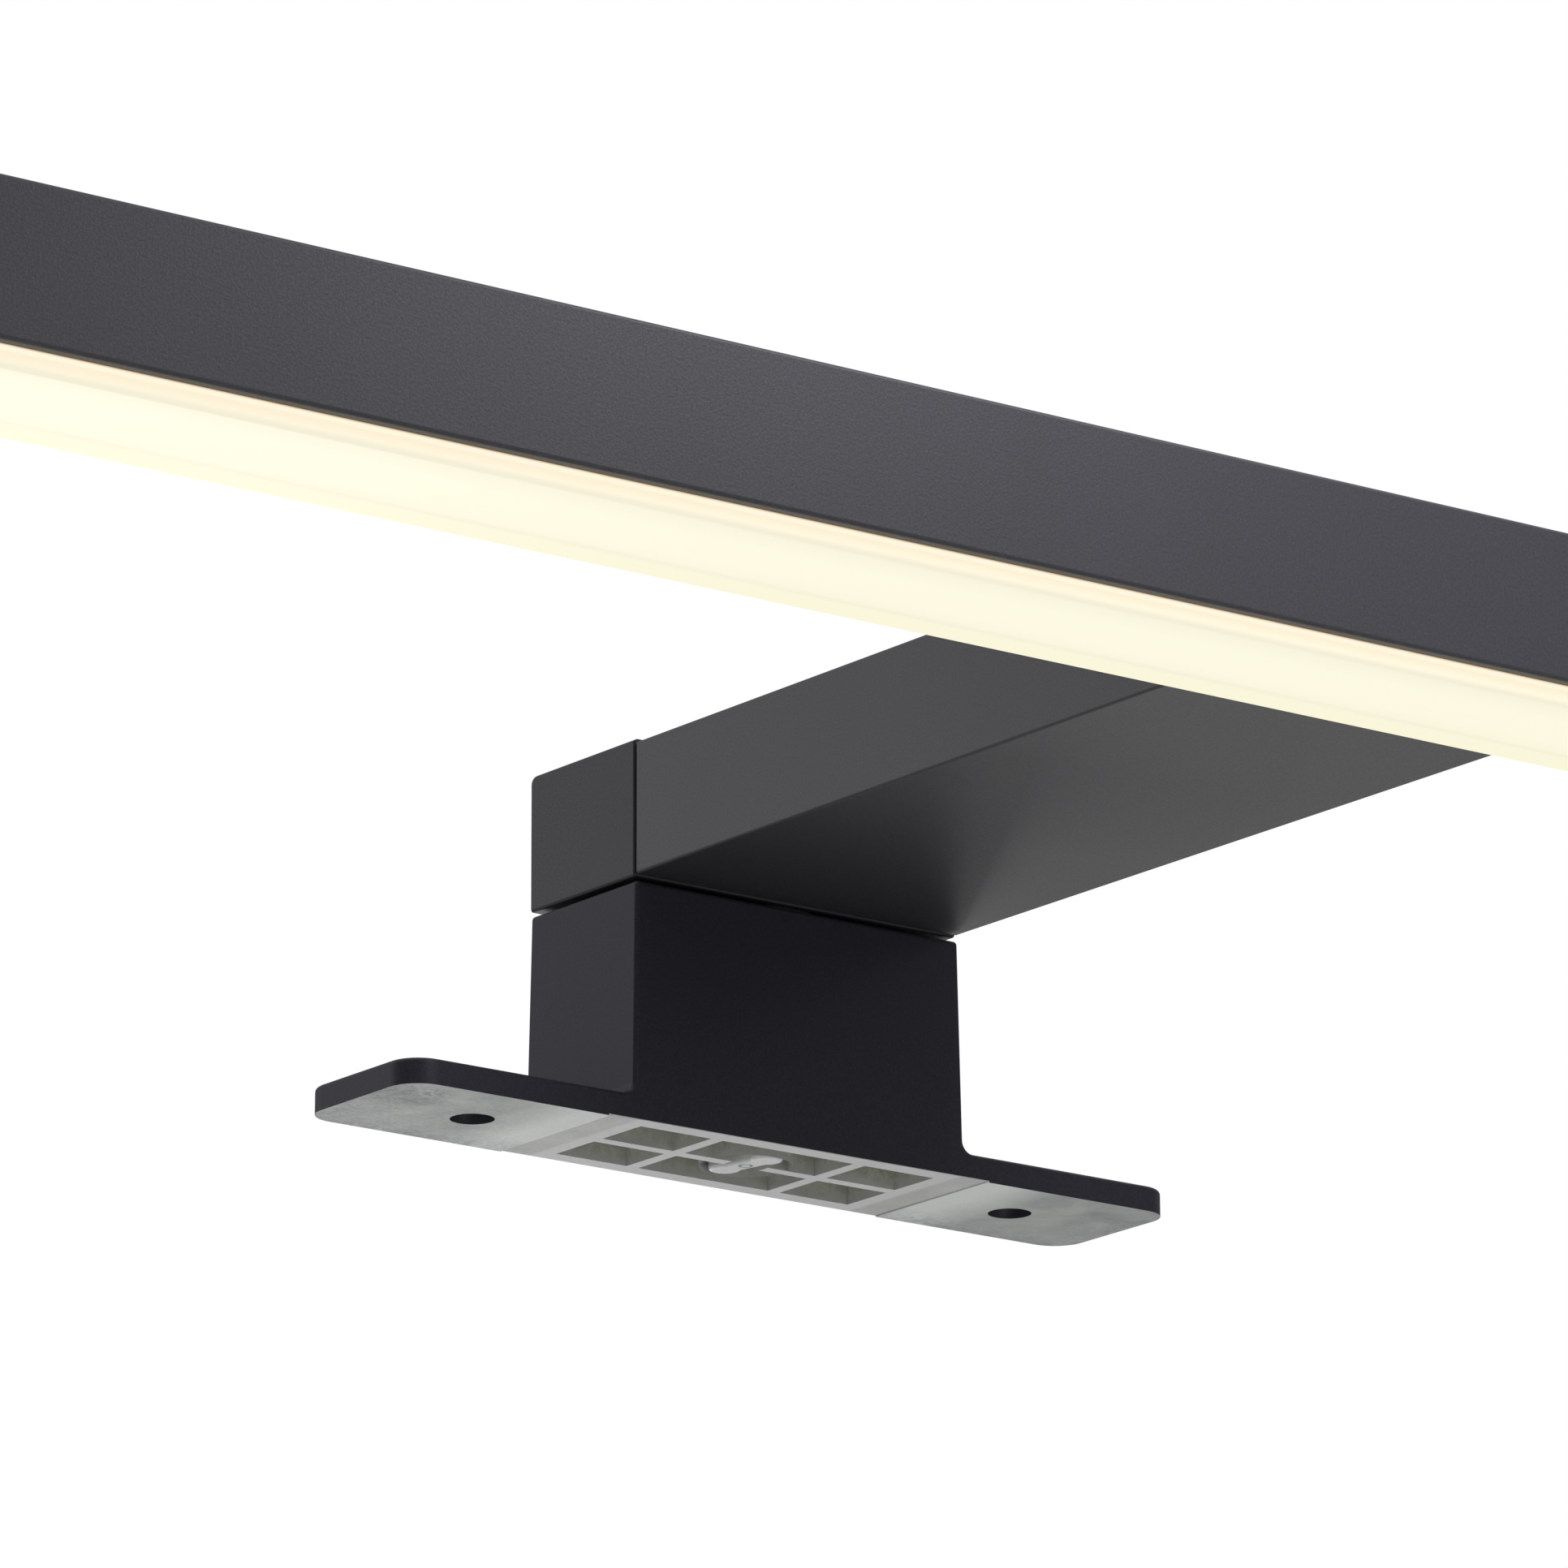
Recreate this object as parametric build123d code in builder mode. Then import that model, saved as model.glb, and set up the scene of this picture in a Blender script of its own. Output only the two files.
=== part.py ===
from build123d import *
import os

# Vanity light bar. A T-shaped cast foot carries a block and a flat arm, and the arm carries a
# slim aluminium bar with an opal diffuser underneath. Its driver lies inside the arm.
# Millimetres. +X runs along the bar, -Y points to the front and +Z is up.
# The origin is the middle of the foot's underside, halfway between its two fixing holes,
# and the head turns on the foot about the Z axis.

os.makedirs("parts", exist_ok=True)

# --- Driving dimensions -------------------------------------------------------------------

# Foot: a plate with two fixing holes and a hollow post
plate_length = 85.0
plate_depth = 16.6
plate_thickness = 2.4
plate_corner = 3.0
plate_edge_round = 0.4  # along every upper edge of the plate and the post
fixing_spacing = 60.0
fixing_hole_radius = 2.0
pad_spacing = 42.0  # between the inner ends of the two flat pads that rest on the furniture
pad_height = 0.1
post_height = 22.0  # from the furniture to the post's top
post_top_depth = 16.1
post_draft = 0.35  # each side is this much further out at the plate
post_root_radius = 1.2
post_wall = 1.7
post_roof = 2.5
rib_thickness = 1.3
rib_spacing = 15.8  # between the two ribs that run front to back
pocket_taper = 1.0
boss_radius = 4.2

# Swivel: a bolt that the foot holds, a plastic friction washer, and a nut inside the block
shadow_gap = 0.4
friction_washer_radius = 7.0
pivot_radius = 2.0
pivot_lobe_radius = 1.5
pivot_lobe_spacing = 5.0
pivot_neck_width = 2.2
pivot_head_turn = 11.0  # degrees from straight across the foot
pivot_head_height = 2.4
pivot_head_round = 0.3
pivot_mark_radius = 0.7
pivot_mark_width = 0.3
pivot_mark_depth = 0.3
pivot_tip = 0.8  # how far the bolt stands out of its nut
pivot_nut_flats = 7.0
pivot_nut_height = 3.2
pivot_nut_chamfer = 0.3
spring_washer_radius = 3.4
spring_washer_thickness = 0.8
spring_washer_split = 0.7

# Head: block, arm and bar share one width and one underside
head_width = 36.0
block_height = 12.65
block_front = -7.7
block_rear = 8.2
block_edge_round = 0.8  # along the rear upper edge
block_side_round = 0.3
block_wall = 1.6
block_floor = 2.6
block_front_wall = 3.0
groove_width = 0.3  # between the block and the arm
arm_lift = 0.15  # the arm's underside above the block's underside
arm_height = 12.2
arm_reach = 79.8
arm_wall = 1.4
arm_edge_round = 0.3
spigot_length = 8.0
spigot_window_width = 16.0
spigot_window_height = 5.0

# Tie screws: two long ones that clamp block, arm and bar together
tie_spacing = 26.0
tie_radius = 1.5
tie_head_radius = 2.8
tie_head_height = 2.0
tie_drop = 4.35  # from the arm's top to the screws' axis

# Rear cover and cord inlet
cover_thickness = 1.5
cover_rebate = 0.8
cover_screw_radius = 1.2
cover_screw_head_radius = 2.1
cover_screw_length = 5.5
cover_boss_radius = 2.0
cover_boss_length = 4.0
inlet_offset = 8.8
inlet_radius = 2.7
grommet_neck_radius = 3.4
grommet_flange_radius = 4.0
grommet_flange = 0.8

# Bar: an aluminium profile, open downwards
bar_length = 600.0  # over the end caps
bar_depth = 17.7
bar_height = 13.0
bar_wall = 1.1
bar_top_wall = 1.2
bar_edge_round = 0.35
web_thickness = 1.5
web_height = 3.85  # from the bar's lower edge to the web's underside
screw_port_radius = 2.2
screw_port_drop = 3.2
screw_port_slot = 1.2
snap_height = 1.35  # from the bar's lower edge to the snap groove's middle
snap_groove_depth = 0.55
snap_groove_height = 0.9

# Diffuser
diffuser_drop = 1.8  # how far it shows below the bar
diffuser_floor = 1.4
diffuser_wall = 1.2
diffuser_stop = 0.4  # gap between its side walls and the web
diffuser_edge_round = 0.5
snap_rib_out = 0.45
snap_rib_height = 0.7

# Light board
board_side_gap = 0.5  # to the diffuser's side walls
board_thickness = 1.0
board_end_gap = 5.5
tape_thickness = 0.15
tape_margin = 0.5  # from the board's edges
led_pitch = 8.0
led_length = 3.5
led_width = 2.8
led_height = 0.7

# End caps
cap_thickness = 2.0
cap_seal_thickness = 0.5
cap_seal_inset = 0.3
cap_tongue = 3.0
cap_screw_radius = 1.45
cap_screw_length = 9.0
cap_screw_head_radius = 2.6
cap_edge_round = 0.25

# Clamp plate that the tie screws are threaded into, inside the bar
clamp_length = 36.0
clamp_thickness = 2.5
clamp_window_width = 9.0
clamp_window_height = 5.2

# Driver, in an insulating sleeve inside the arm
sleeve_wall = 0.4
sleeve_side_gap = 0.6  # from each tie screw
sleeve_top_gap = 0.6
sleeve_rear_gap = 3.0  # from the spigot's end
sleeve_front_gap = 11.0  # from the bar, where the leads come out
driver_board_thickness = 1.0
driver_board_end = 1.5  # the sleeve overhangs the board by this
driver_pad_thickness = 0.8
driver_margin = 0.8  # from the board's sides to the tall components
component_gap = 1.4
component_top_gap = 0.25
terminal_width = 10.0
terminal_length = 8.0
terminal_entry_radius = 1.1
terminal_screw_radius = 1.3
terminal_screw_sink = 0.8
fuse_radius = 1.8
fuse_length = 8.0
fuse_cap_length = 1.6
film_capacitor_gap = 2.7  # to the choke
film_capacitor_width = 4.5
choke_radius = 2.7
choke_flange = 0.9
choke_waist = 0.8
rectifier_size = 5.0
rectifier_height = 2.4
controller_size = 4.0
controller_height = 1.5
reservoir_length = 12.0
output_capacitor_length = 8.0
transformer_width = 12.0
transformer_length = 11.0
ferrite_width = 3.4  # both sides of the winding together
connector_width = 7.0
connector_length = 6.0
connector_gap = 0.1  # to the capacitor beside it

# Leads from the driver to the light board
lead_radius = 0.75
lead_spacing = 3.0
lead_bend = 3.0
lead_drop_offset = 2.25  # from the bar's middle to where the leads go down
lead_grommet_width = 7.6
lead_grommet_height = 4.0
lead_grommet_flange = 0.8
lead_grommet_lip = 0.5  # how far each flange reaches past the hole

# Screw heads and capacitor cans, as shares of their own size
cross_arm_share = 0.25  # width of a cross recess's arm in its length
head_round_share = 0.3  # rounding of a pan head in its height
tip_chamfer_share = 0.25  # chamfer of a screw's tip in its radius
slot_share = 0.4  # width of a slot in the screw's radius
can_round_share = 0.15
can_groove_share = 0.08
can_groove_place = 0.2  # in the can's length, from its rear end

# Clearances
sliding_gap = 0.15  # between pieces that slide into each other
close_gap = 0.05  # a screw in its thread, a lead in its grommet
running_gap = 0.08  # round the pivot bolt
loose_gap = 0.3  # a screw through a plain hole

# --- Places that follow from them ---------------------------------------------------------

block_bottom = post_height + shadow_gap
block_top = block_bottom + block_height
block_middle = (block_front + block_rear) / 2
arm_bottom = block_bottom + arm_lift
arm_top = arm_bottom + arm_height
arm_middle = (arm_bottom + arm_top) / 2
arm_rear = block_front - groove_width
arm_front = arm_rear - arm_reach
arm_inside_width = head_width - 2 * arm_wall
arm_inside_height = arm_height - 2 * arm_wall
cavity_floor = block_bottom + block_floor
cavity_top = block_top - block_wall
cavity_middle = (cavity_floor + cavity_top) / 2
pivot_seat = pad_height + pivot_head_height
nut_bottom = cavity_floor + spring_washer_thickness
pivot_top = nut_bottom + pivot_nut_height + pivot_tip
cavity_width = head_width - 2 * block_wall
cavity_front = block_front + block_front_wall
spigot_end = block_front - spigot_length
spigot_width = arm_inside_width - 2 * sliding_gap
spigot_height = arm_inside_height - 2 * sliding_gap
tie_height = arm_top - tie_drop
bar_top = arm_top
bar_bottom = bar_top - bar_height
bar_rear = arm_front
bar_middle = bar_rear - bar_depth / 2
web_bottom = bar_bottom + web_height
web_top = web_bottom + web_thickness
chamber_top = bar_top - bar_top_wall
port_height = bar_top - screw_port_drop
profile_length = bar_length - 2 * (cap_thickness + cap_seal_thickness)
trough_width = bar_depth - 2 * bar_wall
diffuser_width = trough_width - 2 * close_gap
diffuser_bottom = bar_bottom - diffuser_drop
board_top = web_bottom - tape_thickness
board_bottom = board_top - board_thickness
board_length = profile_length - 2 * board_end_gap
board_width = diffuser_width - 2 * (diffuser_wall + board_side_gap)
tape_width = board_width - 2 * tape_margin
led_count = round(board_length / led_pitch) - 1  # half a pitch stays free at each end
clamp_height = chamber_top - web_top - 2 * sliding_gap
clamp_middle = (chamber_top + web_top) / 2
clamp_rear = bar_rear - bar_wall
clamp_front = clamp_rear - clamp_thickness
sleeve_width = tie_spacing - 2 * (tie_radius + sleeve_side_gap)
sleeve_height = arm_inside_height - sleeve_top_gap
sleeve_bottom = arm_bottom + arm_wall
sleeve_rear = spigot_end - sleeve_rear_gap
sleeve_front = arm_front + sleeve_front_gap
driver_board_width = sleeve_width - 2 * (sleeve_wall + sliding_gap)
driver_board_bottom = sleeve_bottom + sleeve_wall + driver_pad_thickness
driver_board_top = driver_board_bottom + driver_board_thickness
driver_rear = sleeve_rear - driver_board_end
driver_front = sleeve_front + driver_board_end
driver_side = driver_board_width / 2 - driver_margin
component_top = sleeve_bottom + sleeve_height - sleeve_wall - component_top_gap
component_height = component_top - driver_board_top
lead_height = tie_height
lead_middle = driver_side - component_height - connector_gap - connector_width / 2
lead_drop_place = bar_middle + lead_drop_offset
lead_offsets = (lead_middle - lead_spacing / 2, lead_middle + lead_spacing / 2)
film_capacitor_length = 2 * (driver_side - choke_radius) - film_capacitor_gap


# --- Helpers ------------------------------------------------------------------------------

def save(piece, name):
    """Labels a finished piece and writes it."""
    piece.part.label = name
    export_step(piece.part, f"parts/{name}.step")


def block_between(x, y, z):
    """A box between the low and high values given for each axis."""
    with BuildPart() as solid:
        with BuildSketch(Plane.XY.offset(z[0])):
            with Locations(((x[0] + x[1]) / 2, (y[0] + y[1]) / 2)):
                Rectangle(x[1] - x[0], y[1] - y[0])
        extrude(amount=z[1] - z[0])
    return solid.part


def cross_recess(place, width, depth):
    """The cross that a screwdriver fits, sunk into a head whose outer face is the given plane."""
    with BuildPart() as cross:
        with BuildSketch(place):
            Rectangle(width, cross_arm_share * width)
            Rectangle(cross_arm_share * width, width)
        extrude(amount=-depth)
    return cross.part


def pan_screw(seat, shank_radius, shank_length, head_radius, head_height):
    """A pan-head screw. The seat plane is under the head, and its normal points at the head."""
    cross = cross_recess(seat.offset(head_height), head_radius, head_height / 2)
    with BuildPart() as screw:
        with BuildSketch(seat):
            Circle(head_radius)
        extrude(amount=head_height)
        crown = screw.faces().sort_by(Axis(seat.origin, seat.z_dir))[-1]
        fillet(crown.edges(), head_round_share * head_height)
        with BuildSketch(seat):
            Circle(shank_radius)
        extrude(amount=-shank_length)
        add(cross, mode=Mode.SUBTRACT)
        tip = screw.faces().sort_by(Axis(seat.origin, seat.z_dir))[0]
        chamfer(tip.edges(), tip_chamfer_share * shank_radius)
    return screw.part


def countersunk_screw(face, shank_radius, shank_length, head_radius):
    """A screw whose head is flush with the given plane and whose shank runs against its normal."""
    cross = cross_recess(face, head_radius, head_radius - shank_radius)
    with BuildPart() as screw:
        with BuildSketch(face):
            Circle(head_radius)
        extrude(amount=shank_radius - head_radius, taper=45)
        with BuildSketch(face):
            Circle(shank_radius)
        extrude(amount=-shank_length)
        add(cross, mode=Mode.SUBTRACT)
        tip = screw.faces().sort_by(Axis(face.origin, face.z_dir))[0]
        chamfer(tip.edges(), tip_chamfer_share * shank_radius)
    return screw.part


def countersunk_hole(face, screw_radius, depth, head_radius):
    """What is cut away for such a screw, with the close gap all round it."""
    with BuildPart() as hole:
        with BuildSketch(face):
            Circle(head_radius + close_gap)
        extrude(amount=screw_radius - head_radius, taper=45)
        with BuildSketch(face):
            Circle(screw_radius + close_gap)
        extrude(amount=-depth)
    return hole.part


def draw_pivot_head(gap):
    """The bolt head's outline, two round lobes joined by a neck, grown all round by the gap."""
    with Locations(Location((0, 0, 0), (0, 0, pivot_head_turn))):
        Rectangle(pivot_neck_width + 2 * gap, pivot_lobe_spacing)
        with GridLocations(pivot_lobe_spacing, pivot_lobe_spacing, 1, 2):
            Circle(pivot_lobe_radius + gap)


# --- Foot ---------------------------------------------------------------------------------

# The T outline seen from the front, then a wedge cut from its front and its rear, which gives
# the post its draft both ways.
with BuildPart() as foot_casting:
    half_root = head_width / 2 + post_draft
    with BuildSketch(Plane.XZ):
        with BuildLine():
            right_half = Polyline(
                (0, 0),
                (plate_length / 2, 0),
                (plate_length / 2, plate_thickness),
                (half_root, plate_thickness),
                (head_width / 2, post_height),
                (0, post_height),
            )
            mirror(right_half, about=Plane.YZ)
        make_face()
        fillet(vertices().filter_by(lambda v: abs(abs(v.X) - half_root) < close_gap), post_root_radius)
    extrude(amount=plate_depth / 2, both=True)
    with BuildSketch(Plane.YZ.offset(-plate_length / 2)):
        with BuildLine():
            Polyline(
                (plate_depth / 2, 0),
                (plate_depth / 2, post_height),
                (post_top_depth / 2, post_height),
                close=True,
            )
        make_face()
        mirror(about=Plane.YZ)
    extrude(amount=plate_length, mode=Mode.SUBTRACT)
    # The plate's four upright corners, then every upper edge except the lines where the
    # rounded roots of the post begin and end.
    end_edges = foot_casting.faces().filter_by(Axis.X).group_by(SortBy.AREA)[0].edges()
    fillet(end_edges.filter_by(lambda e: e.length < plate_depth / 2), plate_corner)
    upper = foot_casting.edges().filter_by(lambda e: e.center().Z > plate_thickness - close_gap)
    root_top = plate_thickness + post_root_radius + plate_edge_round
    root_end = half_root + post_root_radius + plate_edge_round
    root_lines = upper.filter_by(Axis.Y).filter_by(
        lambda e: e.center().Z < root_top and abs(e.center().X) < root_end
    )
    fillet(upper - root_lines, plate_edge_round)
    # The middle of the underside stands back from the two pads.
    with BuildSketch():
        Rectangle(pad_spacing, plate_depth)
    extrude(amount=pad_height, mode=Mode.SUBTRACT)
    # Pockets up into the post, parted by ribs and by the boss of the pivot bolt.
    with BuildSketch():
        Rectangle(head_width - 2 * post_wall, post_top_depth - 2 * post_wall)
        Rectangle(head_width, rib_thickness, mode=Mode.SUBTRACT)
        with Locations((-rib_spacing / 2, 0), (rib_spacing / 2, 0)):
            Rectangle(rib_thickness, plate_depth, mode=Mode.SUBTRACT)
        Circle(boss_radius, mode=Mode.SUBTRACT)
    extrude(amount=post_height - post_roof, taper=pocket_taper, mode=Mode.SUBTRACT)
    # The boss stops above the bolt's head, and the long rib is cut away round the head.
    with BuildSketch():
        Circle(boss_radius)
        Rectangle(2 * boss_radius, rib_thickness, mode=Mode.SUBTRACT)
        draw_pivot_head(sliding_gap)
    extrude(amount=pivot_seat, mode=Mode.SUBTRACT)
    with Locations((0, 0, post_height)):
        Hole(pivot_radius + close_gap, post_height)
    with Locations((-fixing_spacing / 2, 0, plate_thickness), (fixing_spacing / 2, 0, plate_thickness)):
        Hole(fixing_hole_radius, plate_thickness)
save(foot_casting, "foot_casting")

# --- Swivel -------------------------------------------------------------------------------

with BuildPart() as friction_washer:
    with BuildSketch(Plane.XY.offset(post_height)):
        Circle(friction_washer_radius)
        Circle(pivot_radius + loose_gap, mode=Mode.SUBTRACT)
    extrude(amount=shadow_gap)
save(friction_washer, "friction_washer")

with BuildPart() as pivot_bolt:
    with BuildSketch(Plane.XY.offset(pad_height)):
        draw_pivot_head(0)
    extrude(amount=pivot_head_height)
    fillet(pivot_bolt.faces().sort_by(Axis.Z)[0].edges(), pivot_head_round)
    # Ring-shaped mark in the middle of the head.
    with BuildSketch(Plane.XY.offset(pad_height)):
        Circle(pivot_mark_radius)
        Circle(pivot_mark_radius - pivot_mark_width, mode=Mode.SUBTRACT)
    extrude(amount=pivot_mark_depth, mode=Mode.SUBTRACT)
    with BuildSketch(Plane.XY.offset(pivot_seat)):
        Circle(pivot_radius)
    extrude(amount=pivot_top - pivot_seat)
    chamfer(pivot_bolt.faces().sort_by(Axis.Z)[-1].edges(), tip_chamfer_share * pivot_radius)
save(pivot_bolt, "pivot_bolt")

with BuildPart() as spring_washer:
    with BuildSketch(Plane.XY.offset(cavity_floor)):
        Circle(spring_washer_radius)
        Circle(pivot_radius + loose_gap, mode=Mode.SUBTRACT)
        with Locations((spring_washer_radius, 0)):
            Rectangle(2 * spring_washer_radius, spring_washer_split, mode=Mode.SUBTRACT)
    extrude(amount=spring_washer_thickness)
save(spring_washer, "spring_washer")

with BuildPart() as pivot_nut:
    with BuildSketch(Plane.XY.offset(nut_bottom)):
        RegularPolygon(pivot_nut_flats / 2, 6, major_radius=False)
    extrude(amount=pivot_nut_height)
    chamfer(pivot_nut.faces().sort_by(Axis.Z)[-1].edges(), pivot_nut_chamfer)
    with BuildSketch(Plane.XY.offset(nut_bottom)):
        Circle(pivot_radius + close_gap)
    extrude(amount=pivot_nut_height, mode=Mode.SUBTRACT)
save(pivot_nut, "pivot_nut")

# --- Head block ---------------------------------------------------------------------------

with BuildPart() as head_block:
    with BuildSketch(Plane.XY.offset(block_bottom)):
        with Locations((0, block_middle)):
            Rectangle(head_width, block_rear - block_front)
    extrude(amount=block_height)
    rear_edges = head_block.faces().sort_by(Axis.Y)[-1].edges().filter_by(Axis.X)
    fillet(rear_edges.sort_by(Axis.Z)[-1], block_edge_round)
    fillet(head_block.faces().sort_by(Axis.Z)[0].edges().filter_by(Axis.X), block_side_round)
    fillet(head_block.faces().filter_by(Axis.X).edges(), block_side_round)
    # Spigot that the arm slides over.
    with BuildSketch(Plane.XZ.offset(-cavity_front)):
        with Locations((0, arm_middle)):
            RectangleRounded(spigot_width, spigot_height, arm_edge_round)
    extrude(amount=cavity_front - spigot_end)
    # Cavity, open to the rear, with a rebate for the cover.
    with BuildSketch(Plane.XZ.offset(-block_rear)):
        with Locations((0, cavity_middle)):
            Rectangle(cavity_width, cavity_top - cavity_floor)
    extrude(amount=block_rear - cavity_front, mode=Mode.SUBTRACT)
    with BuildSketch(Plane.XZ.offset(-block_rear)):
        with Locations((0, cavity_middle)):
            Rectangle(cavity_width + cover_rebate, cavity_top - cavity_floor + cover_rebate)
    extrude(amount=cover_thickness, mode=Mode.SUBTRACT)
    # Hole through the floor, in which the block turns on the pivot bolt.
    with BuildSketch(Plane.XY.offset(block_bottom)):
        Circle(pivot_radius + running_gap)
    extrude(amount=block_floor, mode=Mode.SUBTRACT)
    # Boss under the roof for the cover's screw.
    with BuildSketch(Plane.XZ.offset(cover_thickness - block_rear)):
        with Locations((0, cavity_top - cover_boss_radius)):
            Circle(cover_boss_radius)
            with Locations((0, cover_boss_radius / 2)):
                Rectangle(2 * cover_boss_radius, cover_boss_radius)
    extrude(amount=cover_boss_length)
    with BuildSketch(Plane.XZ.offset(-block_rear)):
        with Locations((0, cavity_top - cover_boss_radius)):
            Circle(cover_screw_radius + close_gap)
    extrude(amount=cover_thickness + cover_boss_length, mode=Mode.SUBTRACT)
    # Window for the mains cord's cores, and the two holes for the tie screws.
    with BuildSketch(Plane.XZ.offset(-cavity_front)):
        with Locations((0, tie_height - 1)):
            RectangleRounded(spigot_window_width, spigot_window_height, 1)
        with Locations((-tie_spacing / 2, tie_height), (tie_spacing / 2, tie_height)):
            Circle(tie_radius + loose_gap / 2)
    extrude(amount=cavity_front - spigot_end, mode=Mode.SUBTRACT)
save(head_block, "head_block")

cover_screw_place = Plane(
    origin=(0, block_rear, cavity_top - cover_boss_radius), x_dir=(-1, 0, 0), z_dir=(0, 1, 0)
)
cover_screw_hole = countersunk_hole(
    cover_screw_place, cover_screw_radius, cover_thickness, cover_screw_head_radius
)
with BuildPart() as rear_cover:
    with BuildSketch(Plane.XZ.offset(-block_rear)):
        with Locations((0, cavity_middle)):
            Rectangle(
                cavity_width + cover_rebate - 2 * close_gap,
                cavity_top - cavity_floor + cover_rebate - 2 * close_gap,
            )
        with Locations((inlet_offset, cavity_middle)):
            Circle(grommet_neck_radius + close_gap, mode=Mode.SUBTRACT)
    extrude(amount=cover_thickness)
    add(cover_screw_hole, mode=Mode.SUBTRACT)
save(rear_cover, "rear_cover")

cover_screw = countersunk_screw(
    cover_screw_place, cover_screw_radius, cover_screw_length, cover_screw_head_radius
)
with BuildPart() as rear_cover_screw:
    add(cover_screw)
save(rear_cover_screw, "rear_cover_screw")

# A rubber ring with a flange on each side of the cover.
with BuildPart() as cord_grommet:
    cord_inner_face = block_rear - cover_thickness
    with BuildSketch(Plane.XZ.offset(-block_rear - grommet_flange)):
        with Locations((inlet_offset, cavity_middle)):
            Circle(grommet_flange_radius)
    extrude(amount=grommet_flange)
    fillet(cord_grommet.faces().sort_by(Axis.Y)[-1].edges(), grommet_flange / 2)
    with BuildSketch(Plane.XZ.offset(-block_rear)):
        with Locations((inlet_offset, cavity_middle)):
            Circle(grommet_neck_radius)
    extrude(amount=cover_thickness)
    with BuildSketch(Plane.XZ.offset(-cord_inner_face)):
        with Locations((inlet_offset, cavity_middle)):
            Circle(grommet_flange_radius)
    extrude(amount=grommet_flange)
    with BuildSketch(Plane.XZ.offset(-block_rear - grommet_flange)):
        with Locations((inlet_offset, cavity_middle)):
            Circle(inlet_radius)
    extrude(amount=cover_thickness + 2 * grommet_flange, mode=Mode.SUBTRACT)
save(cord_grommet, "cord_grommet")

# --- Arm and tie screws -------------------------------------------------------------------

with BuildPart() as arm_tube:
    with BuildSketch(Plane.XZ.offset(-arm_rear)):
        with Locations((0, arm_middle)):
            RectangleRounded(head_width, arm_height, arm_edge_round)
            RectangleRounded(arm_inside_width, arm_inside_height, arm_edge_round, mode=Mode.SUBTRACT)
    extrude(amount=arm_reach)
save(arm_tube, "arm_tube")

tie_length = cavity_front - clamp_front + 1
tie_pair = [
    pan_screw(
        Plane(origin=(side * tie_spacing / 2, cavity_front, tie_height), x_dir=(-1, 0, 0), z_dir=(0, 1, 0)),
        tie_radius,
        tie_length,
        tie_head_radius,
        tie_head_height,
    )
    for side in (-1, 1)
]
with BuildPart() as tie_screws:
    add(tie_pair)
save(tie_screws, "tie_screws")

with BuildPart() as clamp_plate:
    with BuildSketch(Plane.XZ.offset(-clamp_rear)):
        with Locations((0, clamp_middle)):
            RectangleRounded(clamp_length, clamp_height, 1)
        with Locations((lead_middle, clamp_middle)):
            Rectangle(clamp_window_width, clamp_window_height, mode=Mode.SUBTRACT)
        with Locations((-tie_spacing / 2, tie_height), (tie_spacing / 2, tie_height)):
            Circle(tie_radius + close_gap, mode=Mode.SUBTRACT)
    extrude(amount=clamp_thickness)
save(clamp_plate, "clamp_plate")

# --- Bar ----------------------------------------------------------------------------------

# The section is drawn on a plane across the bar, with its x to the rear and its y up.
section_plane = Plane(origin=(-profile_length / 2, bar_middle, 0), x_dir=(0, 1, 0), z_dir=(1, 0, 0))

with BuildPart() as bar_profile:
    with BuildSketch(section_plane):
        with Locations((0, (bar_top + bar_bottom) / 2)):
            RectangleRounded(bar_depth, bar_height, bar_edge_round)
        # Trough for the diffuser, open downwards, and the chamber above the web.
        with Locations((0, (bar_bottom + web_bottom) / 2)):
            Rectangle(trough_width, web_bottom - bar_bottom, mode=Mode.SUBTRACT)
        with Locations((0, (web_top + chamber_top) / 2)):
            Rectangle(trough_width, chamber_top - web_top, mode=Mode.SUBTRACT)
        with Locations((0, bar_bottom + snap_height)):
            Rectangle(trough_width + 2 * snap_groove_depth, snap_groove_height, mode=Mode.SUBTRACT)
        # Port for the end cap screws, hanging from the top wall.
        with Locations((0, (port_height + chamber_top) / 2)):
            Rectangle(2 * screw_port_radius, chamber_top - port_height)
        with Locations((0, port_height)):
            Circle(screw_port_radius)
            Circle(cap_screw_radius + close_gap, mode=Mode.SUBTRACT)
        with Locations((0, port_height - screw_port_radius / 2)):
            Rectangle(screw_port_slot, screw_port_radius, mode=Mode.SUBTRACT)
    extrude(amount=profile_length)
    # Holes through the rear wall for the tie screws and the lead grommet.
    with BuildSketch(Plane.XZ.offset(-bar_rear)):
        with Locations((-tie_spacing / 2, tie_height), (tie_spacing / 2, tie_height)):
            Circle(tie_radius + loose_gap / 2)
        with Locations((lead_middle, lead_height)):
            RectangleRounded(lead_grommet_width, lead_grommet_height, 1)
    extrude(amount=bar_wall, mode=Mode.SUBTRACT)
    # Hole through the web where the leads go down to the light board.
    with BuildSketch(Plane.XY.offset(web_bottom)):
        with Locations((lead_middle, lead_drop_place)):
            SlotOverall(lead_spacing + 4 * lead_radius, 3 * lead_radius)
    extrude(amount=web_thickness, mode=Mode.SUBTRACT)
save(bar_profile, "bar_profile")

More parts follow.
